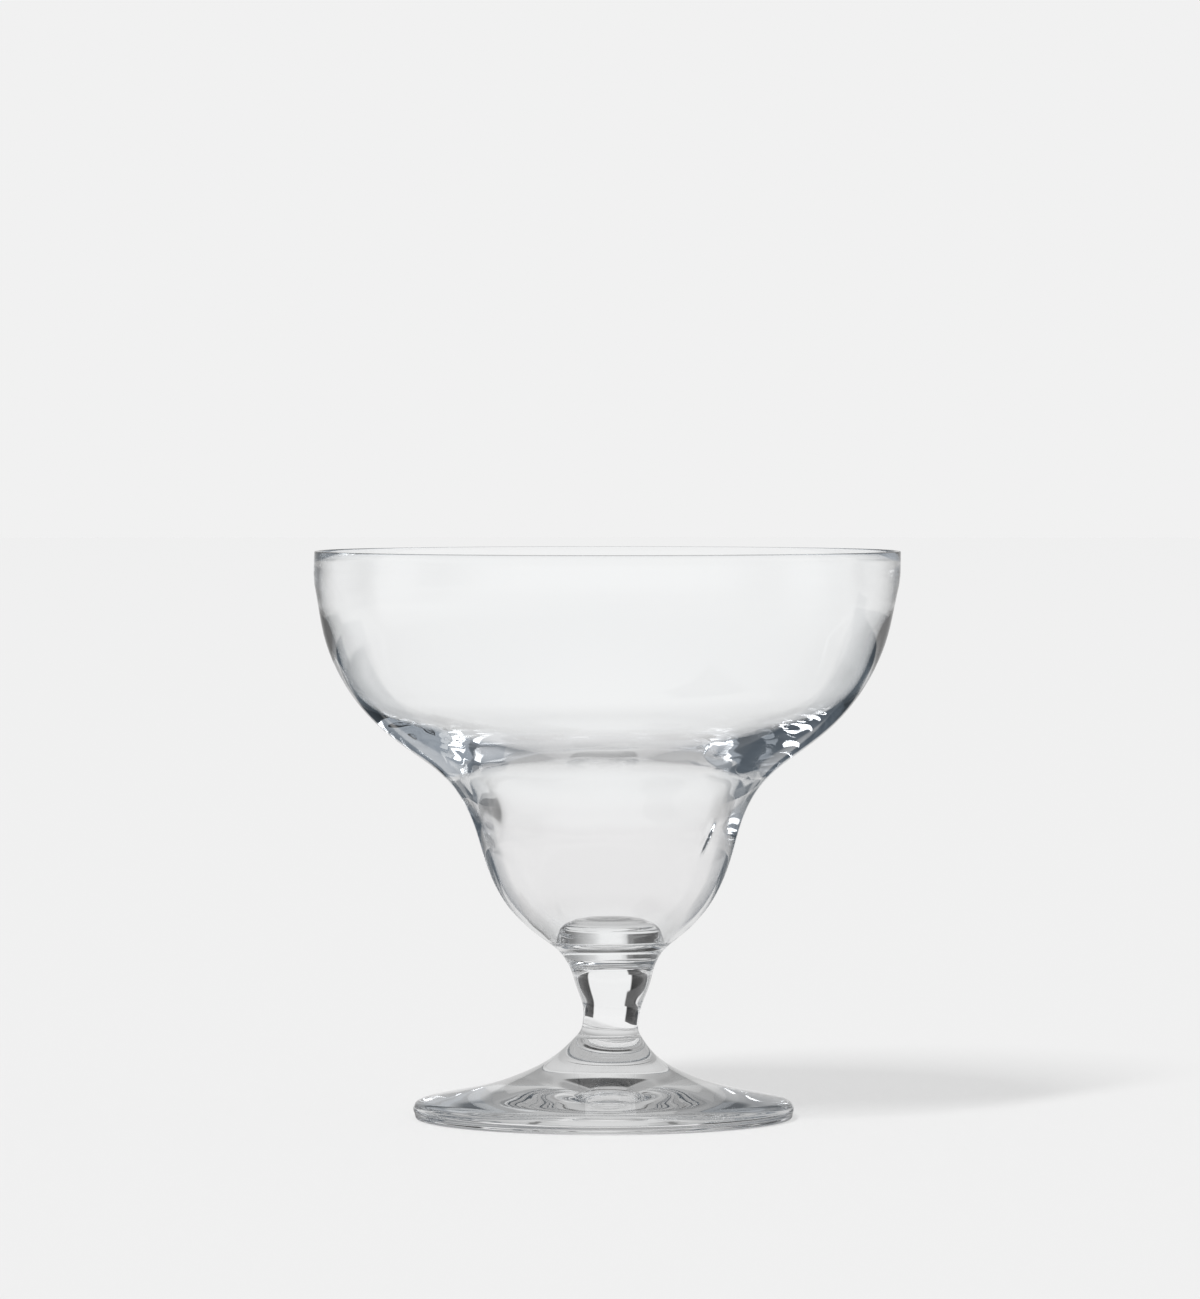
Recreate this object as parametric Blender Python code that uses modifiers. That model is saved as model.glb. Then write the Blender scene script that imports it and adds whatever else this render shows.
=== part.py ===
"""Dessert coupe in clear glass: a wide bowl with a narrower well in its floor, a short stem and a flared foot.

Three pieces of glass, each turned about +Z, are welded hot, end to end, at two flat butt joints.
Metres, +Z up. The origin is the centre of the plane that the foot stands on.
"""

import math
from typing import NamedTuple

import bpy

# Overall height, standing plane to rim
HEIGHT = 0.1065

# Foot
FOOT_RADIUS = 0.03575
FOOT_HEIGHT = 0.0156
FOOT_WELD_RADIUS = 0.0059
FLARE_RADIUS = 0.0168
FLARE_HEIGHT = 0.0077
FOOT_EDGE_HEIGHT = 0.0036
FOOT_EDGE_ROUND = 0.0028
FOOT_EDGE_LEAN = 0.0003
FOOT_HEEL_ROUND = 0.0004
STANDING_RING_WIDTH = 0.0065
UNDERSIDE_RISE = 0.0014

# Stem, with heights above the foot weld
STEM_LENGTH = 0.0143
NECK_RADIUS = 0.00525
NECK_HEIGHT = 0.0031
COLLAR_RADIUS = 0.0071
COLLAR_HEIGHT = 0.0099
BOWL_WELD_RADIUS = 0.00875

# Outside of the bowl, each height measured from the station below it
BASE_RADIUS = 0.0128
BASE_RISE = 0.0039
WELL_RADIUS = 0.0240
WELL_RISE = 0.0179
SHOULDER_RADIUS = 0.0357
SHOULDER_RISE = 0.0166
RIM_RADIUS = 0.0550

# Glass thickness of the bowl
RIM_WALL = 0.0009
RIM_ROUND = 0.0003
BELLY_WALL = 0.0013
SHOULDER_WALL = 0.0025
THROAT_WALL = 0.0030
WELL_WALL = 0.00125
BASE_WALL = 0.0010

# Dome that the hot stem raises in the bowl's floor, with heights above the bowl weld
DOME_RADIUS = 0.0102
DOME_HEIGHT = 0.0081
DOME_EDGE_HEIGHT = 0.0038

# Directions in which the outlines run at their stations, in degrees: 0 outward, 90 up
OUTWARD, UP, INWARD, DOWN = 0.0, 90.0, 180.0, 270.0
RIM_HEADING = 268.6
SHOULDER_HEADING = 213.5
INNER_SHOULDER_HEADING = 28.7
THROAT_HEADING = 60.2
DOME_EDGE_HEADING = 282.0
WELL_HEADING = 255.0
BASE_HEADING = 217.0
BOWL_WELD_HEADING = 239.0
COLLAR_HEADING = 254.0
FOOT_WELD_HEADING = 307.0
FLARE_HEADING = 338.0
FOOT_EDGE_HEADING = 348.0

# Fineness
HANDLE_SHARE = 0.40
SPAN_STEPS = 6
SHORT_STEPS = 3
SEGMENTS = 48
MERGE_DISTANCE = 1e-5

# Clear soda-lime glass
GLASS_COLOUR = (0.96, 0.98, 0.98, 1.0)
GLASS_ROUGHNESS = 0.02
GLASS_IOR = 1.52

# Levels of the two welds, and of the bowl's stations above its own weld
FOOT_WELD_LEVEL = FOOT_HEIGHT
BOWL_WELD_LEVEL = FOOT_WELD_LEVEL + STEM_LENGTH
BASE_LEVEL = BASE_RISE
WELL_LEVEL = BASE_LEVEL + WELL_RISE
SHOULDER_LEVEL = WELL_LEVEL + SHOULDER_RISE
RIM_LEVEL = HEIGHT - BOWL_WELD_LEVEL


class Station(NamedTuple):
    """A point of a turned outline, with the direction in which the outline runs through it."""

    radius: float
    height: float
    heading: float


def along(station, distance):
    """The point that lies this far ahead of a station, along its heading."""
    angle = math.radians(station.heading)
    return (
        station.radius + distance * math.cos(angle),
        station.height + distance * math.sin(angle),
    )


def behind_wall(station, wall):
    """The station on the inner face, one wall thickness square to an outer one, running back up."""
    angle = math.radians(station.heading - 90.0)
    return Station(
        station.radius + wall * math.cos(angle),
        station.height + wall * math.sin(angle),
        station.heading - 180.0,
    )


def span(start, end, steps=SPAN_STEPS):
    """Points on the cubic curve between two stations, without its last one."""
    handle = HANDLE_SHARE * math.dist(start[:2], end[:2])
    controls = (start[:2], along(start, handle), along(end, -handle), end[:2])
    points = []
    for step in range(steps):
        t = step / steps
        weights = ((1 - t) ** 3, 3 * t * (1 - t) ** 2, 3 * t * t * (1 - t), t**3)
        points.append(
            tuple(sum(w * c[axis] for w, c in zip(weights, controls)) for axis in (0, 1))
        )
    return points


def outline(stations, steps=SPAN_STEPS):
    """Points on the curve through all the stations, with the last one."""
    points = []
    for start, end in zip(stations, stations[1:]):
        points += span(start, end, steps)
    return points + [stations[-1][:2]]


def middle_station(start, end):
    """The station half-way along the curve between two others."""
    handle = HANDLE_SHARE * math.dist(start[:2], end[:2])
    ahead, before = along(start, handle), along(end, -handle)
    point = [
        (s + 3 * a + 3 * b + e) / 8 for s, a, b, e in zip(start[:2], ahead, before, end[:2])
    ]
    run = [e + b - a - s for s, a, b, e in zip(start[:2], ahead, before, end[:2])]
    return Station(*point, math.degrees(math.atan2(run[1], run[0])) % 360.0)


def clear_glass(name):
    """Clear glass for one piece."""
    material = bpy.data.materials.new(name)
    material.use_nodes = True
    shader = material.node_tree.nodes["Principled BSDF"]
    shader.inputs["Base Color"].default_value = GLASS_COLOUR
    shader.inputs["Metallic"].default_value = 0.0
    shader.inputs["Roughness"].default_value = GLASS_ROUGHNESS
    shader.inputs["IOR"].default_value = GLASS_IOR
    shader.inputs["Transmission Weight"].default_value = 1.0
    return material


def turned(name, points, level, collection, parent):
    """A solid of revolution standing at this level, from an outline that starts and ends on the axis."""
    mesh = bpy.data.meshes.new(name)
    edges = [(i, i + 1) for i in range(len(points) - 1)]
    mesh.from_pydata([(radius, 0.0, height) for radius, height in points], edges, [])
    mesh.materials.append(clear_glass(name + "_glass"))
    piece = bpy.data.objects.new(name, mesh)
    piece.location.z = level
    piece.parent = parent
    collection.objects.link(piece)
    screw = piece.modifiers.new("Turn", "SCREW")
    screw.axis = "Z"
    screw.steps = SEGMENTS
    screw.render_steps = SEGMENTS
    screw.use_merge_vertices = True
    screw.merge_threshold = MERGE_DISTANCE
    screw.use_smooth_shade = True
    return piece


def foot_outline():
    """The flared foot: flat weld face on top, rounded edge, flat standing ring and a hollow underside."""
    edge_radius = FOOT_RADIUS - FOOT_EDGE_ROUND
    heel_radius = FOOT_RADIUS - FOOT_EDGE_LEAN
    ring_radius = heel_radius - FOOT_HEEL_ROUND
    top = [
        Station(FOOT_WELD_RADIUS, FOOT_HEIGHT, FOOT_WELD_HEADING),
        Station(FLARE_RADIUS, FLARE_HEIGHT, FLARE_HEADING),
        Station(edge_radius, FOOT_EDGE_HEIGHT, FOOT_EDGE_HEADING),
    ]
    edge = [
        top[-1],
        Station(FOOT_RADIUS, FOOT_EDGE_HEIGHT / 2, DOWN),
        Station(heel_radius, FOOT_HEEL_ROUND, DOWN),
        Station(ring_radius, 0.0, INWARD),
    ]
    underside = [
        Station(ring_radius - STANDING_RING_WIDTH, 0.0, INWARD),
        Station(0.0, UNDERSIDE_RISE, INWARD),
    ]
    return (
        [(0.0, FOOT_HEIGHT)]
        + outline(top)[:-1]
        + outline(edge, SHORT_STEPS)
        + outline(underside)
    )


def stem_outline():
    """The solid stem: it narrows from the bowl weld to a neck and widens again to the foot weld."""
    side = [
        Station(BOWL_WELD_RADIUS, STEM_LENGTH, BOWL_WELD_HEADING),
        Station(COLLAR_RADIUS, COLLAR_HEIGHT, COLLAR_HEADING),
        Station(NECK_RADIUS, NECK_HEIGHT, DOWN),
        Station(FOOT_WELD_RADIUS, 0.0, FOOT_WELD_HEADING),
    ]
    return [(0.0, STEM_LENGTH)] + outline(side, SHORT_STEPS + 1) + [(0.0, 0.0)]


def bowl_outline():
    """The hollow bowl: up its inner face from the floor, over the rim and down its outer face to the weld."""
    rim_round = min(RIM_ROUND, RIM_WALL / 2)
    rim = Station(RIM_RADIUS, RIM_LEVEL - rim_round, RIM_HEADING)
    shoulder = Station(SHOULDER_RADIUS, SHOULDER_LEVEL, SHOULDER_HEADING)
    well = Station(WELL_RADIUS, WELL_LEVEL, WELL_HEADING)
    base = Station(BASE_RADIUS, BASE_LEVEL, BASE_HEADING)
    weld = Station(BOWL_WELD_RADIUS, 0.0, BOWL_WELD_HEADING)
    inner_rim = Station(RIM_RADIUS - RIM_WALL, RIM_LEVEL - rim_round, UP)
    throat = behind_wall(middle_station(shoulder, well), THROAT_WALL)
    inner_shoulder = behind_wall(shoulder, SHOULDER_WALL)
    inside = [
        Station(0.0, DOME_HEIGHT, OUTWARD),
        Station(DOME_RADIUS, DOME_EDGE_HEIGHT, DOME_EDGE_HEADING),
        behind_wall(base, BASE_WALL),
        behind_wall(well, WELL_WALL),
        throat._replace(heading=THROAT_HEADING),
        inner_shoulder._replace(heading=INNER_SHOULDER_HEADING),
        behind_wall(middle_station(rim, shoulder), BELLY_WALL),
        inner_rim,
    ]
    lip = [
        inner_rim,
        Station(RIM_RADIUS - RIM_WALL + rim_round, RIM_LEVEL, OUTWARD),
        Station(RIM_RADIUS - rim_round, RIM_LEVEL, OUTWARD),
        rim,
    ]
    return (
        outline(inside)[:-1]
        + outline(lip, SHORT_STEPS)[:-1]
        + outline([rim, shoulder, well, base, weld])
        + [(0.0, 0.0)]
    )


def main():
    for old in list(bpy.data.objects):
        bpy.data.objects.remove(old)
    parts = bpy.data.collections.new("dessert_coupe")
    bpy.context.scene.collection.children.link(parts)
    stand = bpy.data.objects.new("standing_plane", None)
    parts.objects.link(stand)
    turned("foot", foot_outline(), 0.0, parts, stand)
    turned("stem", stem_outline(), FOOT_WELD_LEVEL, parts, stand)
    turned("bowl", bowl_outline(), BOWL_WELD_LEVEL, parts, stand)


main()
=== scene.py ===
"""Clear-glass dessert coupe on a pale studio floor, seen as in the photograph.

Three pieces of glass are drawn from the outlines of the CAD solids, with the unevenness of hand-made glass.
The glass is plain and clear, but greyed round the well as painted shade. The studio stands in for the cards
and lamps that a photographer sets round
a glass: it shows one set of tones to a clear sight line, and others to light reflected inside the glass.
"""

import math

import bpy
import numpy as np
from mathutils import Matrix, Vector


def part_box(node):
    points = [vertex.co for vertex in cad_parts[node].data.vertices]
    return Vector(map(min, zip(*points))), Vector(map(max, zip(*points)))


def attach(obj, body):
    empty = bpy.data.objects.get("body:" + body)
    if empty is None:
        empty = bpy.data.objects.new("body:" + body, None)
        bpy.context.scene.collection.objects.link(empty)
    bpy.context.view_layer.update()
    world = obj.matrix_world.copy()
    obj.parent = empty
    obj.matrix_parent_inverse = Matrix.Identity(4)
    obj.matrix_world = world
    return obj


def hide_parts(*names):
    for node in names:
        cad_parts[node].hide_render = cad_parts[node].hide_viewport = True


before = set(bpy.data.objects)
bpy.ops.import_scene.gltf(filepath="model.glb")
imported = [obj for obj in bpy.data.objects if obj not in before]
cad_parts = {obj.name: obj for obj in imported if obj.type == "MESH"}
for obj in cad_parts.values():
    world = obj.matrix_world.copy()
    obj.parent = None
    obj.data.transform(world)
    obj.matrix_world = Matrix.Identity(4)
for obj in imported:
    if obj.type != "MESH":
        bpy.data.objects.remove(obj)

# Photograph and camera, in pixels of the 1200 by 1299 frame and in metres, with the sensor in millimetres
PHOTO_WIDTH, PHOTO_HEIGHT = 1200, 1299
AXIS_PIXEL = 606.0
HORIZON_PIXEL = 436.0
PIXELS_PER_METRE = 5332.0
CAMERA_DISTANCE = 1.390
CAMERA_HEIGHT = 0.1280
CAMERA_REACH = 100.0
SENSOR_WIDTH = 36.0

# Light bounces that the thick glass needs
MAX_BOUNCES = 32

# Fineness of the glass
SEGMENTS = 256
STEPS_PER_EDGE = 4
STEPS_PER_KNOT = 8
CORNER_TURN = math.radians(24.0)

# Lengths below which a point lies in the CAD model's section, and a face on the level of a weld
IN_SECTION = 1e-6
ON_LEVEL = 1e-7

# Hand-made glass: how far the axis wanders to the right at each height, and the inner face besides
AXIS_WANDER = (
    (0.0, -0.0004),
    (0.010, -0.0003),
    (0.019, 0.0010),
    (0.027, 0.0012),
    (0.036, 0.0006),
    (0.050, 0.0003),
    (0.075, -0.0001),
    (0.1065, 0.0003),
)
INNER_WANDER = (
    (0.031, 0.0),
    (0.060, -0.0001),
    (0.066, -0.0003),
    (0.082, -0.0001),
    (0.1065, 0.0),
)

# A swelling of the inner face round the throat: height, half its width and rise
SWELL_HEIGHT, SWELL_WIDTH, SWELL_RISE = 0.0590, 0.0065, 0.0006

# Waves on that swelling: crests round the bowl, slant in radians per metre of height, phase and rise
WAVES = (
    (7.0, 260.0, 0.3, 0.00005),
    (15.0, -380.0, 1.9, 0.00003),
)

# Wrinkles on the inner face: angle from the front to the right and height at both ends, width and rise
WRINKLES = (
    (55.0, 0.0572, 46.0, 0.0498, 0.0005, -0.0004),
    (-27.0, 0.0440, -30.0, 0.0400, 0.0006, -0.00012),
)

# Radius that turns the wrinkles' angles into lengths, and the share of the rise that is left at their ends
WRINKLE_RADIUS = 0.022
WRINKLE_TAIL = 0.05

# Rings on the dome in the bowl's floor: their reach, spacing and rise, and the share of the reach that fades
RIPPLE_REACH = 0.0108
RIPPLE_LENGTH = 0.0021
RIPPLE_RISE = 0.00007
RIPPLE_FADE = 0.3

# Clear glass: tints of a soft cloud, and painted shade round the well, a grey that darkens the glass there,
# from and to a height with a soft edge
GLASS_IOR = 1.52
CLOUD_SCALE = 40.0
GLASS_TINTS = (
    (0.0, (0.985, 0.993, 0.996, 1.0)),
    (1.0, (0.997, 0.999, 1.0, 1.0)),
)
WELL_PAINTED_SHADE = (0.948, 0.946, 0.948, 1.0)
WELL_SHADE_HEIGHTS = 0.0395, 0.0585, 0.0045

# Floor, and the share of its brightness that the key light gives
FLOOR_RADIUS = 8.0
FLOOR_SIDES = 64
FLOOR_LEVEL = -0.0001
FLOOR_ALBEDO = 0.30
KEY_SHARE = 0.20

# Key light, from the front and the left. An azimuth runs from behind the glass to the right, in degrees.
KEY_AZIMUTH, KEY_ELEVATION = -150.0, 50.0
KEY_DISTANCE = 300.0
KEY_WIDTH, KEY_HEIGHT = 25.0, 120.0


def linear(level):
    """Linear light of an 8-bit display level."""
    share = level / 255.0
    return share / 12.92 if share <= 0.04045 else ((share + 0.055) / 1.055) ** 2.4


def display(*levels):
    """Linear colour from 8-bit display levels, one for grey or three."""
    return tuple(linear(level) for level in (levels if len(levels) == 3 else levels * 3)) + (1.0,)


def grey(level):
    """Colour of one linear level."""
    return (level, level, level, 1.0)


# Backdrop and floor as the camera sees them
PALE = linear(241)

# Light is told apart by its way through the glass:
# - solid: straight through two faces; hollow: through more, across the inside of the bowl
# - once, often: reflected inside the glass one time, or more
# - deep: often, eased in between these two counts of reflections
SOLID_FACES = 1.9, 2.1, 0.1
HOLLOW_FACES = 2.5
DEEP_FROM, DEEP_TO = 4.0, 9.0

# Clear light is lifted by this share, up to a count of faces, to make up for what is lost at them
CLEAR_LIFT = 0.055
LIFT_FACES = 4.0

# Far walls and far floor, by the angle from the middle of the nearest of four walls, the left negative
CLEAR_SIDES = (
    (-45.0, display(95)),
    (-36.0, display(85)),
    (-28.0, display(125)),
    (-20.0, display(165)),
    (-12.0, display(205)),
    (-7.0, display(239)),
    (0.0, display(241)),
    (7.0, display(239)),
    (12.0, display(210)),
    (20.0, display(185)),
    (28.0, display(158)),
    (36.0, display(130)),
    (45.0, display(120)),
)
ONCE_SIDES = (
    (-45.0, display(226)),
    (-38.0, display(210)),
    (-30.0, display(176)),
    (-22.0, display(150)),
    (-14.0, display(172)),
    (-8.0, display(212)),
    (0.0, display(224)),
    (8.0, display(214)),
    (14.0, display(182)),
    (22.0, display(170)),
    (30.0, display(194)),
    (38.0, display(214)),
    (45.0, display(228)),
)
OFTEN_SIDES = (
    (-45.0, display(178)),
    (-24.0, display(172)),
    (-12.0, display(207)),
    (0.0, display(222)),
    (12.0, display(212)),
    (24.0, display(190)),
    (45.0, display(192)),
)

# The walls stand between two azimuths, with a soft edge. Beyond them the studio is plain.
SIDES_SPAN = -135.0, 62.0, 12.0
PLAIN_SIDE = display(236)

# Distances between which the near floor passes into the far floor
CLEAR_FAR = 0.70, 1.00
ONCE_FAR = 0.45, 0.70

# Elevations between which the room passes, downwards, into the far walls
ONCE_WALL_TOP = 22.0, 10.0
OFTEN_WALL_TOP = 55.0, 40.0

# The near floor by its distance from the axis
FLOOR_HOLLOW = (
    (0.0, display(205)),
    (0.022, display(140)),
    (0.028, display(195)),
    (0.085, display(212)),
    (0.20, display(232)),
    (0.50, display(241)),
    (1.10, display(241)),
)
FLOOR_ONCE = (
    (0.0, display(226)),
    (0.010, display(220)),
    (0.016, display(168)),
    (0.030, display(168)),
    (0.042, display(162)),
    (0.056, display(216)),
    (0.10, display(230)),
    (1.10, display(226)),
)
FLOOR_OFTEN = (
    (0.0, display(168)),
    (0.012, display(212)),
    (0.024, display(218)),
    (0.036, display(178)),
    (0.05, display(190)),
    (0.10, display(206)),
    (1.10, display(205)),
)
FLOOR_DEEP = (
    (0.0, display(110)),
    (0.05, display(84, 93, 102)),
    (0.075, display(120, 127, 135)),
    (0.10, display(215, 219, 225)),
    (0.20, display(170, 177, 185)),
    (0.30, display(105, 113, 122)),
    (0.60, display(84, 93, 102)),
    (1.10, display(70, 79, 88)),
)

# The room above the walls by its elevation in degrees
ROOM_ONCE = (
    (0.0, display(190)),
    (18.0, display(180)),
    (50.0, display(180)),
    (90.0, display(225)),
)
ROOM_OFTEN = (
    (0.0, display(180)),
    (40.0, display(185)),
    (60.0, display(208)),
    (90.0, display(212)),
)
ROOM_DEEP = (
    (0.0, display(66, 75, 84)),
    (30.0, display(62, 71, 80)),
    (45.0, display(95, 103, 112)),
    (60.0, display(150)),
    (90.0, display(160)),
)

# Cards in the room: azimuth from, to and its soft edge, elevation from, to and its soft edge, colour.
# Colours above 1 are lamps, which make the sparkles in the thick shoulder.
CARDS_SOLID = (
    (-62.0, -23.0, 3.0, -2.0, 19.0, 2.0, display(18)),
    (-62.0, -19.0, 3.0, 19.0, 28.0, 2.0, display(80)),
    (-42.0, -19.0, 3.0, 28.0, 36.0, 2.0, display(18)),
    (31.0, 62.0, 3.0, -2.0, 31.0, 3.0, display(45)),
)
CARDS_HOLLOW = (
    (-26.0, -14.0, 3.0, -5.0, 17.0, 2.0, display(105)),
    (-60.0, -19.0, 3.0, -5.0, 6.0, 0.8, display(45)),
)
CARDS_ONCE = (
    (-14.0, 13.0, 3.0, 18.0, 37.0, 3.0, display(70)),
    (-62.0, -18.0, 3.0, 22.0, 42.0, 5.0, display(160)),
    (18.0, 45.0, 3.0, 22.0, 36.0, 4.0, display(150)),
)
CARDS_ONCE_SOLID = (
    (-110.0, -70.0, 6.0, 55.0, 70.0, 5.0, display(30)),
)
CARDS_OFTEN = (
    (-30.0, 30.0, 3.0, 11.0, 15.0, 2.0, display(110)),
    (-160.0, -120.0, 3.0, 20.0, 50.0, 3.0, display(110)),
)
CARDS_DEEP = (
    (60.0, 125.0, 6.0, -5.0, 40.0, 5.0, display(158, 165, 173)),
    (6.0, 66.0, 6.0, -5.0, 50.0, 5.0, display(150, 158, 167)),
    (42.0, 60.0, 4.0, -5.0, 36.0, 4.0, display(214, 218, 222)),
    (-62.0, -40.0, 4.0, -5.0, 20.0, 4.0, display(150, 157, 165)),
    (-110.0, -15.0, 5.0, 36.0, 80.0, 8.0, display(66, 74, 82)),
    (18.0, 36.0, 3.0, 4.0, 24.0, 3.0, (3.2, 3.3, 3.4, 1.0)),
    (-98.0, -86.0, 2.0, 1.0, 10.0, 2.0, (4.0, 4.1, 4.3, 1.0)),
    (120.0, 130.0, 2.0, 1.0, 10.0, 2.0, (4.0, 4.1, 4.3, 1.0)),
)

# Mats on the floor: azimuth from, to and its soft edge, distance from, to and its soft edge, colour.
# Here too, colours above 1 are lamps.
MATS_SOLID = (
    (-62.0, -23.0, 3.0, 0.80, 9.0, 0.15, display(60)),
    (31.0, 62.0, 3.0, 0.22, 9.0, 0.05, display(50)),
)
MATS_REFLECTED = (
    (-44.0, -16.0, 4.0, 0.21, 0.50, 0.03, display(86, 94, 101)),
    (-64.0, -40.0, 4.0, 0.08, 0.30, 0.03, display(125, 131, 137)),
    (16.0, 42.0, 4.0, 0.21, 0.50, 0.03, display(86, 94, 101)),
    (38.0, 64.0, 4.0, 0.08, 0.50, 0.03, display(125, 131, 137)),
)
MATS_ONCE_HOLLOW = (
    (-115.0, 75.0, 4.0, 0.008, 0.034, 0.003, display(98)),
    (-115.0, -15.0, 4.0, 0.012, 0.036, 0.003, display(58)),
)
MATS_ONCE_SOLID = (
    (-70.0, -28.0, 4.0, 0.040, 0.085, 0.006, display(45)),
)
MATS_OFTEN = (
    (-185.0, -150.0, 4.0, 0.04, 0.40, 0.02, display(60)),
    (150.0, 185.0, 4.0, 0.04, 0.40, 0.02, display(60)),
)
MATS_DEEP = (
    (6.0, 125.0, 6.0, 0.40, 9.0, 0.10, display(150, 158, 167)),
    (-42.0, -26.0, 3.0, 0.13, 0.24, 0.02, (2.4, 2.5, 2.6, 1.0)),
    (42.0, 62.0, 3.0, 0.07, 0.12, 0.01, (2.4, 2.5, 2.6, 1.0)),
)


def cad_outline(node):
    """Outline of a turned CAD node, in rows of radius and height, from its upper point on the axis down."""
    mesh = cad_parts[node].data
    flat = {}
    for vertex in mesh.vertices:
        x, y, z = vertex.co
        if abs(y) < IN_SECTION and x > -IN_SECTION:
            flat[vertex.index] = (round(max(x, 0.0), 7), round(z, 7))
    links = {}
    for edge in mesh.edges:
        a, b = (flat.get(i) for i in edge.vertices)
        if a and b and a != b:
            links.setdefault(a, set()).add(b)
            links.setdefault(b, set()).add(a)
    ends = sorted((p for p in links if len(links[p]) == 1), key=lambda p: p[1])
    walk = [ends[-1]]
    while len(walk) == 1 or walk[-1] not in ends:
        walk += links[walk[-1]] - set(walk[-2:])
    weld_centres = [(0.0, p[1]) if p[0] > 0.0 else None for p in (walk[0], walk[-1])]
    return np.array([p for p in [weld_centres[0], *walk, weld_centres[1]] if p])


def spline(points, steps):
    """A smooth cubic curve through the points, with this many steps between each two."""
    count = len(points)
    if count < 3:
        return points
    run = np.linalg.norm(np.diff(points, axis=0), axis=1)
    slopes = np.diff(points, axis=0) / run[:, None]
    system = np.zeros((count, count))
    target = np.zeros((count, 2))
    system[0, :2] = 2.0, 1.0
    target[0] = 3.0 * slopes[0]
    system[-1, -2:] = 1.0, 2.0
    target[-1] = 3.0 * slopes[-1]
    for i in range(1, count - 1):
        system[i, i - 1 : i + 2] = run[i], 2.0 * (run[i - 1] + run[i]), run[i - 1]
        target[i] = 3.0 * (run[i] * slopes[i - 1] + run[i - 1] * slopes[i])
    tangents = np.linalg.solve(system, target)
    fine = []
    for i in range(count - 1):
        for t in np.arange(steps) / steps:
            fine.append(
                (1 + 2 * t) * (1 - t) ** 2 * points[i]
                + t * (1 - t) ** 2 * run[i] * tangents[i]
                + t * t * (3 - 2 * t) * points[i + 1]
                + t * t * (t - 1) * run[i] * tangents[i + 1]
            )
    return np.array(fine + [points[-1]])


def fine_outline(node):
    """The CAD outline with smooth curves between its corners."""
    points = cad_outline(node)
    runs = np.diff(points, axis=0)
    headings = np.unwrap(np.arctan2(runs[:, 1], runs[:, 0]))
    corners = [i + 1 for i, turn in enumerate(np.diff(headings)) if abs(turn) > CORNER_TURN]
    stops = [0] + corners + [len(points) - 1]
    fine = [spline(points[a : b + 1], STEPS_PER_EDGE)[:-1] for a, b in zip(stops, stops[1:])]
    fine = np.concatenate(fine + [points[-1:]])
    return np.clip(fine, points.min(axis=0), points.max(axis=0))


def wander(table, heights):
    """Sideways shift at each height, on a smooth curve through a table of heights and shifts."""
    fine = spline(np.array(table), STEPS_PER_KNOT)
    return np.interp(heights, fine[:, 0], fine[:, 1])


def inner_rows(outline):
    """True for the rows of the bowl's outline that lie on its inner face, up to the rim."""
    return np.arange(len(outline)) <= int(np.argmax(outline[:, 1]))


def outward(outline):
    """Unit normals out of the glass, at the rows of an outline."""
    run = np.gradient(outline, axis=0)
    return np.stack([-run[:, 1], run[:, 0]], axis=1) / np.linalg.norm(run, axis=1)[:, None]


def wrinkle_rise(height, from_front):
    """Rise of the inner face along the wrinkles, which taper to both ends."""
    rise = 0.0
    for angle_a, height_a, angle_b, height_b, width, crest in WRINKLES:
        start = np.array([math.radians(angle_a) * WRINKLE_RADIUS, height_a])
        step = np.array([math.radians(angle_b) * WRINKLE_RADIUS, height_b]) - start
        across, up = from_front * WRINKLE_RADIUS - start[0], height - start[1]
        along = np.clip((across * step[0] + up * step[1]) / (step @ step), 0.0, 1.0)
        off = np.hypot(across - along * step[0], up - along * step[1])
        taper = np.clip(4.0 * along * (1.0 - along) + WRINKLE_TAIL, 0.0, 1.0)
        rise = rise + crest * taper * np.exp(-((off / width) ** 2))
    return rise


def unevenness(outline, angles):
    """How far the inner face of the bowl stands out, at each row of its outline and each angle."""
    radius, height = outline[:, :1], outline[:, 1:]
    from_front = (angles + math.pi / 2.0 + math.pi) % (2.0 * math.pi) - math.pi
    rise = wrinkle_rise(height, from_front) * (radius > RIPPLE_REACH)
    about_throat = np.exp(-(((height - SWELL_HEIGHT) / SWELL_WIDTH) ** 2))
    rise += SWELL_RISE * about_throat
    for crests, slant, phase, crest in WAVES:
        rise += crest * about_throat * np.sin(crests * from_front + slant * height + phase)
    ripple = RIPPLE_RISE * np.cos(2.0 * math.pi * radius / RIPPLE_LENGTH)
    fade = np.clip((RIPPLE_REACH - radius) / (RIPPLE_FADE * RIPPLE_REACH), 0.0, 1.0)
    return rise + ripple * fade


def turned_points(outline, inside):
    """Points of a turned piece: a ring for each row but the first and last, then these two, on the axis."""
    angles = np.linspace(0.0, 2.0 * math.pi, SEGMENTS, endpoint=False)
    shift = wander(AXIS_WANDER, outline[:, 1])
    radius = np.repeat(outline[:, :1], SEGMENTS, axis=1)
    height = np.repeat(outline[:, 1:], SEGMENTS, axis=1)
    if inside is not None:
        shift = shift + inside * wander(INNER_WANDER, outline[:, 1])
        rise = unevenness(outline, angles) * inside[:, None]
        normal = outward(outline)
        radius = radius + rise * normal[:, :1]
        height = height + rise * normal[:, 1:]
    x = radius * np.cos(angles) + shift[:, None]
    y = radius * np.sin(angles)
    rings = np.stack([x, y, height], axis=2)[1:-1]
    ends = [(shift[i], 0.0, height[i].mean()) for i in (0, -1)]
    return np.concatenate([rings.reshape(-1, 3), ends])


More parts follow.
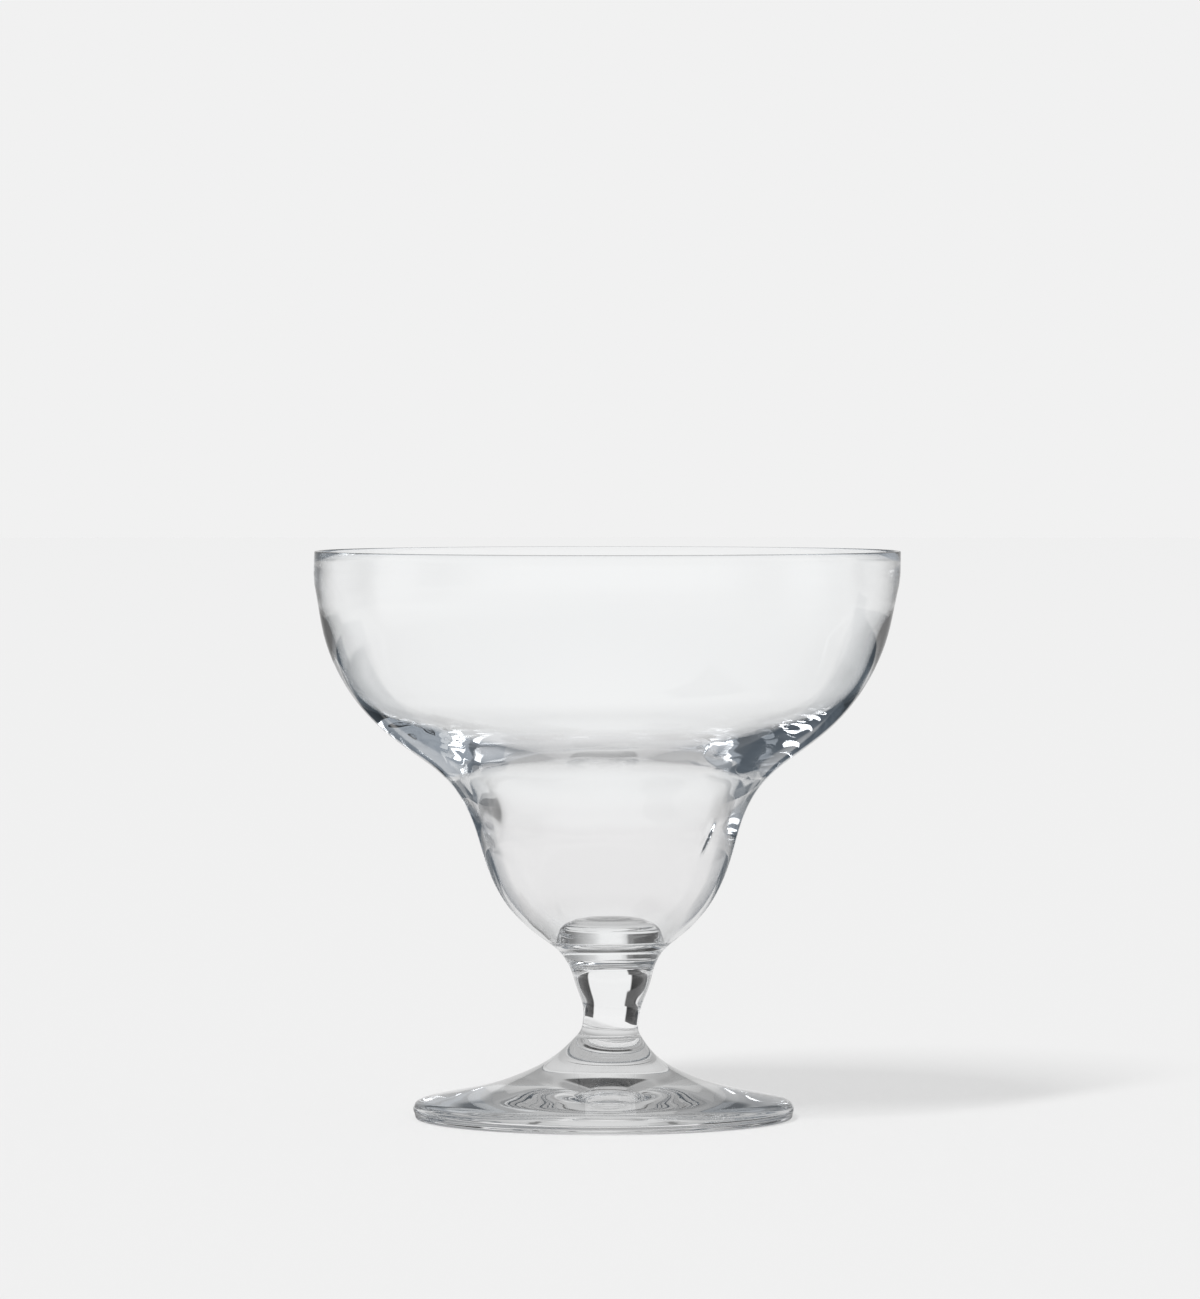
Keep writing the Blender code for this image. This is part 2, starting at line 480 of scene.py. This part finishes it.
def turned_faces(rings):
    """Faces between neighbouring rings of points, and from the end rings to the two points on the axis."""
    top, bottom = rings * SEGMENTS, rings * SEGMENTS + 1
    last = (rings - 1) * SEGMENTS
    faces = []
    for j in range(SEGMENTS):
        k = (j + 1) % SEGMENTS
        faces.append((top, j, k))
        for upper in range(0, last, SEGMENTS):
            lower = upper + SEGMENTS
            faces.append((upper + j, lower + j, lower + k, upper + k))
        faces.append((last + j, bottom, last + k))
    return faces


def turned(name, outline, seam_levels, materials, inside=None):
    """A closed glass piece from its outline, uneven inside, with the seam material on its weld faces."""
    points = turned_points(outline, inside)
    mesh = bpy.data.meshes.new(name)
    mesh.from_pydata(points.tolist(), [], turned_faces(len(outline) - 2))
    for material in materials:
        mesh.materials.append(material)
    mesh.shade_smooth()
    for polygon in mesh.polygons:
        heights = [points[i][2] for i in polygon.vertices]
        if any(max(abs(h - level) for h in heights) < ON_LEVEL for level in seam_levels):
            polygon.material_index = 1
            polygon.use_smooth = False
    mesh.validate()
    piece = bpy.data.objects.new(name, mesh)
    bpy.context.scene.collection.objects.link(piece)
    return piece


class Tree:
    """Short ways to add nodes to one node tree."""

    def __init__(self, owner):
        owner.use_nodes = True
        self.nodes = owner.node_tree.nodes
        self.links = owner.node_tree.links
        self.nodes.clear()

    def put(self, socket, value):
        """Gives an input a value, or the output of another node."""
        if isinstance(value, bpy.types.NodeSocket):
            self.links.new(value, socket)
        else:
            socket.default_value = value

    def add(self, kind, *inputs, **settings):
        """A node with these settings and, in order, these inputs."""
        node = self.nodes.new(kind)
        for key, value in settings.items():
            setattr(node, key, value)
        for socket, value in zip(node.inputs, inputs):
            self.put(socket, value)
        return node

    def math(self, operation, *inputs):
        """The result of a Math node."""
        return self.add("ShaderNodeMath", *inputs, operation=operation).outputs[0]

    def ease(self, value, low, high):
        """0 before one value, 1 after the other, eased between."""
        node = self.add("ShaderNodeMapRange", value, low, high, interpolation_type="SMOOTHSTEP")
        return node.outputs["Result"]

    def window(self, value, low, high, edge):
        """1 between two values, 0 beyond a soft edge."""
        rising, falling = self.ease(value, low - edge, low), self.ease(value, high + edge, high)
        return self.math("MULTIPLY", rising, falling)

    def ramp(self, value, stops):
        """A colour by a value, from rows of value and colour that start at 0."""
        top = stops[-1][0]
        node = self.add("ShaderNodeValToRGB", self.math("DIVIDE", value, top))
        elements = node.color_ramp.elements
        elements.remove(elements[1])
        elements[0].color = stops[0][1]
        for place, colour in stops[1:]:
            elements.new(place / top).color = colour
        return node.outputs["Color"]

    def mix(self, share, first, second):
        """One colour passing into another."""
        node = self.add("ShaderNodeMix", data_type="RGBA")
        for index, value in ((0, share), (6, first), (7, second)):
            self.put(node.inputs[index], value)
        return node.outputs[2]

    def shade(self, share, first, second):
        """One shader passing into another."""
        return self.add("ShaderNodeMixShader", share, first, second).outputs[0]

    def glow(self, colour, strength=1.0):
        """A surface that shines by itself."""
        return self.add("ShaderNodeEmission", colour, strength).outputs[0]

    def azimuth(self, x, y):
        """Degrees from +Y towards +X."""
        return self.math("DEGREES", self.math("ARCTAN2", x, y))

    def cover(self, azimuth, away, row):
        """1 on a card or mat, by azimuth and by elevation or distance."""
        across = self.window(azimuth, *row[:3])
        return self.math("MULTIPLY", across, self.window(away, *row[3:6]))

    def patched(self, ground, azimuth, away, rows, share=1.0):
        """A colour with cards or mats on it."""
        for row in rows:
            cover = self.math("MULTIPLY", self.cover(azimuth, away, row), share)
            ground = self.mix(cover, ground, row[6])
        return ground

    def sides(self, azimuth, stops):
        """A colour by the angle from the middle of the nearest of four walls."""
        turn = self.math("FLOORED_MODULO", self.math("ADD", azimuth, 45.0), 90.0)
        wall = self.ramp(turn, [(angle + 45.0, colour) for angle, colour in stops])
        return self.mix(self.window(azimuth, *SIDES_SPAN), PLAIN_SIDE, wall)

    def solid(self, path):
        """1 for light that has passed two faces of the glass."""
        return self.window(path.outputs["Transmission Depth"], *SOLID_FACES)

    def hollow(self, path):
        """1 for light that has passed more faces than two."""
        return self.math("GREATER_THAN", path.outputs["Transmission Depth"], HOLLOW_FACES)

    def reflected(self, path, count):
        """1 for light that has been reflected at least this often."""
        return self.math("GREATER_THAN", path.outputs["Glossy Depth"], count - 0.5)

    def scattered(self, path):
        """1 for light that a matt surface has scattered."""
        return self.math("GREATER_THAN", path.outputs["Diffuse Depth"], 0.5)

    def depth(self, path):
        """0 for light reflected a few times inside the glass, 1 for light that has run far in it."""
        return self.ease(path.outputs["Glossy Depth"], DEEP_FROM, DEEP_TO)

    def lift(self, path):
        """How much brighter the studio is for light that comes through the glass."""
        faces = self.math("MINIMUM", path.outputs["Transmission Depth"], LIFT_FACES)
        share = self.math("MULTIPLY", faces, CLEAR_LIFT / LIFT_FACES)
        return self.math("MULTIPLY", share, self.math("SUBTRACT", 1.0, self.scattered(path)))


def glass():
    """Clear soda-lime glass, a shade cooler here and there, and greyed round the well as painted shade."""
    material = bpy.data.materials.new("clear_glass")
    tree = Tree(material)
    place = tree.add("ShaderNodeTexCoord").outputs["Object"]
    cloud = tree.add("ShaderNodeTexNoise", place)
    cloud.inputs["Scale"].default_value = CLOUD_SCALE
    tint = tree.ramp(cloud.outputs["Fac"], GLASS_TINTS)
    _, _, height = tree.add("ShaderNodeSeparateXYZ", place).outputs
    # Painted shade: the glass is greyed between the well's heights, so that the well looks darker.
    tint = tree.mix(tree.window(height, *WELL_SHADE_HEIGHTS), tint, WELL_PAINTED_SHADE)
    shader = tree.add("ShaderNodeBsdfPrincipled", tint)
    shader.inputs["Roughness"].default_value = 0.0
    shader.inputs["IOR"].default_value = GLASS_IOR
    shader.inputs["Transmission Weight"].default_value = 1.0
    tree.add("ShaderNodeOutputMaterial", shader.outputs[0])
    return material


def seam():
    """The fused face between two pieces, where the glass runs on and nothing shows."""
    material = bpy.data.materials.new("fused_seam")
    material.use_nodes = True
    material.node_tree.nodes["Principled BSDF"].inputs["Alpha"].default_value = 0.0
    return material


def floor_paper():
    """Pale paper that glows a little by itself, so that shadows stay light, with the mats for the glass."""
    material = bpy.data.materials.new("floor_paper")
    tree = Tree(material)
    path = tree.add("ShaderNodeLightPath")
    place = tree.add("ShaderNodeNewGeometry").outputs["Position"]
    radius = tree.add("ShaderNodeVectorMath", place, operation="LENGTH").outputs["Value"]
    x, y, _ = tree.add("ShaderNodeSeparateXYZ", place).outputs
    azimuth = tree.azimuth(x, y)
    solid, hollow, lift = tree.solid(path), tree.hollow(path), tree.lift(path)

    own = tree.glow(grey(PALE), tree.math("ADD", lift, 1.0 - FLOOR_ALBEDO - KEY_SHARE))
    lit = tree.add("ShaderNodeBsdfDiffuse", grey(FLOOR_ALBEDO), 0.0).outputs[0]
    clear = tree.add("ShaderNodeAddShader", own, lit).outputs[0]
    for mat in MATS_SOLID:
        cover = tree.math("MULTIPLY", tree.cover(azimuth, radius, mat), solid)
        clear = tree.shade(cover, clear, tree.glow(mat[6]))
    across = tree.ramp(radius, FLOOR_HOLLOW)
    across = tree.mix(tree.ease(radius, *CLEAR_FAR), across, tree.sides(azimuth, CLEAR_SIDES))
    clear = tree.shade(hollow, clear, tree.glow(across, tree.math("ADD", lift, 1.0)))

    once = tree.patched(tree.ramp(radius, FLOOR_ONCE), azimuth, radius, MATS_REFLECTED)
    once = tree.patched(once, azimuth, radius, MATS_ONCE_HOLLOW, hollow)
    once = tree.patched(once, azimuth, radius, MATS_ONCE_SOLID, solid)
    once = tree.mix(tree.ease(radius, *ONCE_FAR), once, tree.sides(azimuth, ONCE_SIDES))

    often = tree.patched(tree.ramp(radius, FLOOR_OFTEN), azimuth, radius, MATS_REFLECTED + MATS_OFTEN)
    deep = tree.patched(tree.ramp(radius, FLOOR_DEEP), azimuth, radius, MATS_DEEP)
    often = tree.mix(tree.depth(path), often, deep)

    reflected = tree.glow(tree.mix(tree.reflected(path, 2), once, often))
    tree.add("ShaderNodeOutputMaterial", tree.shade(tree.reflected(path, 1), clear, reflected))
    return material


def floor():
    """A wide round floor."""
    mesh = bpy.data.meshes.new("floor")
    angles = np.linspace(0.0, 2.0 * math.pi, FLOOR_SIDES, endpoint=False)
    rim = [(FLOOR_RADIUS * math.cos(a), FLOOR_RADIUS * math.sin(a), FLOOR_LEVEL) for a in angles]
    mesh.from_pydata(rim, [], [list(range(FLOOR_SIDES))])
    mesh.materials.append(floor_paper())
    obj = bpy.data.objects.new("floor", mesh)
    bpy.context.scene.collection.objects.link(obj)


def studio():
    """A pale backdrop all round for clear sight lines, and a darker room for what the glass reflects."""
    world = bpy.data.worlds.new("studio")
    bpy.context.scene.world = world
    tree = Tree(world)
    path = tree.add("ShaderNodeLightPath")
    direction = tree.add("ShaderNodeTexCoord").outputs["Generated"]
    x, y, z = tree.add("ShaderNodeSeparateXYZ", direction).outputs
    azimuth = tree.azimuth(x, y)
    elevation = tree.math("DEGREES", tree.math("ARCSINE", z))
    solid, hollow = tree.solid(path), tree.hollow(path)

    clear = tree.patched(grey(PALE), azimuth, elevation, CARDS_SOLID, solid)
    across = tree.patched(tree.sides(azimuth, CLEAR_SIDES), azimuth, elevation, CARDS_HOLLOW)
    clear = tree.mix(hollow, clear, across)

    low = tree.ease(elevation, *ONCE_WALL_TOP)
    once = tree.mix(low, tree.ramp(elevation, ROOM_ONCE), tree.sides(azimuth, ONCE_SIDES))
    once = tree.patched(once, azimuth, elevation, CARDS_ONCE)
    once = tree.patched(once, azimuth, elevation, CARDS_ONCE_SOLID, solid)

    low = tree.ease(elevation, *OFTEN_WALL_TOP)
    often = tree.mix(low, tree.ramp(elevation, ROOM_OFTEN), tree.sides(azimuth, OFTEN_SIDES))
    often = tree.patched(often, azimuth, elevation, CARDS_OFTEN)
    deep = tree.patched(tree.ramp(elevation, ROOM_DEEP), azimuth, elevation, CARDS_DEEP)
    often = tree.mix(tree.depth(path), often, deep)

    seen = tree.mix(tree.reflected(path, 1), clear, once)
    seen = tree.mix(tree.reflected(path, 2), seen, often)
    seen = tree.mix(tree.scattered(path), seen, grey(PALE))
    strength = tree.math("ADD", tree.lift(path), 1.0)
    background = tree.add("ShaderNodeBackground", seen, strength)
    tree.add("ShaderNodeOutputWorld", background.outputs[0])


def toward(azimuth, elevation):
    """Unit vector by azimuth and elevation in degrees."""
    a, e = math.radians(azimuth), math.radians(elevation)
    return Vector((math.sin(a) * math.cos(e), math.cos(a) * math.cos(e), math.sin(e)))


def key_light():
    """A tall soft light that casts the shadow to the right."""
    data = bpy.data.lights.new("key", "AREA")
    data.shape = "RECTANGLE"
    data.size, data.size_y = KEY_WIDTH, KEY_HEIGHT
    irradiance = KEY_SHARE * PALE * math.pi / FLOOR_ALBEDO
    slant = math.sin(math.radians(KEY_ELEVATION))
    data.energy = irradiance * math.pi * KEY_DISTANCE**2 / slant
    obj = bpy.data.objects.new("key", data)
    away = toward(KEY_AZIMUTH, KEY_ELEVATION)
    obj.location = KEY_DISTANCE * away
    obj.rotation_euler = away.to_track_quat("Z", "Y").to_euler()
    obj.visible_glossy = False
    obj.visible_transmission = False
    obj.visible_camera = False
    bpy.context.scene.collection.objects.link(obj)


def camera():
    """A long lens at the photograph's distance and height."""
    focal_pixels = PIXELS_PER_METRE * CAMERA_DISTANCE
    data = bpy.data.cameras.new("camera")
    data.sensor_width = SENSOR_WIDTH
    data.lens = focal_pixels * SENSOR_WIDTH / PHOTO_HEIGHT
    data.clip_end = CAMERA_REACH
    obj = bpy.data.objects.new("camera", data)
    aside = (PHOTO_WIDTH / 2 - AXIS_PIXEL) / PIXELS_PER_METRE
    obj.location = (aside, -CAMERA_DISTANCE, CAMERA_HEIGHT)
    tilt = math.atan((PHOTO_HEIGHT / 2 - HORIZON_PIXEL) / focal_pixels)
    obj.rotation_euler = (math.pi / 2 - tilt, 0.0, 0.0)
    bpy.context.scene.collection.objects.link(obj)
    bpy.context.scene.camera = obj


def coupe():
    """The three pieces of glass, in the places of the CAD nodes."""
    materials = [glass(), seam()]
    foot_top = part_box("foot")[1].z
    bowl_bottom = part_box("bowl")[0].z
    for node, levels in (
        ("foot", [foot_top]),
        ("stem", [foot_top, bowl_bottom]),
        ("bowl", [bowl_bottom]),
    ):
        outline = fine_outline(node)
        inside = inner_rows(outline) if node == "bowl" else None
        piece = turned("glass_" + node, outline, levels, materials, inside)
        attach(piece, "root")
        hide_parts(node)


def light_paths():
    """Enough bounces for the thick glass, and colours shown as they are."""
    scene = bpy.context.scene
    scene.view_settings.view_transform = "Standard"
    scene.cycles.max_bounces = MAX_BOUNCES
    scene.cycles.transmission_bounces = MAX_BOUNCES
    scene.cycles.glossy_bounces = MAX_BOUNCES
    scene.cycles.transparent_max_bounces = MAX_BOUNCES
    scene.cycles.blur_glossy = 0.0


def main():
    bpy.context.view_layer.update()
    coupe()
    floor()
    camera()
    studio()
    key_light()
    light_paths()


main()
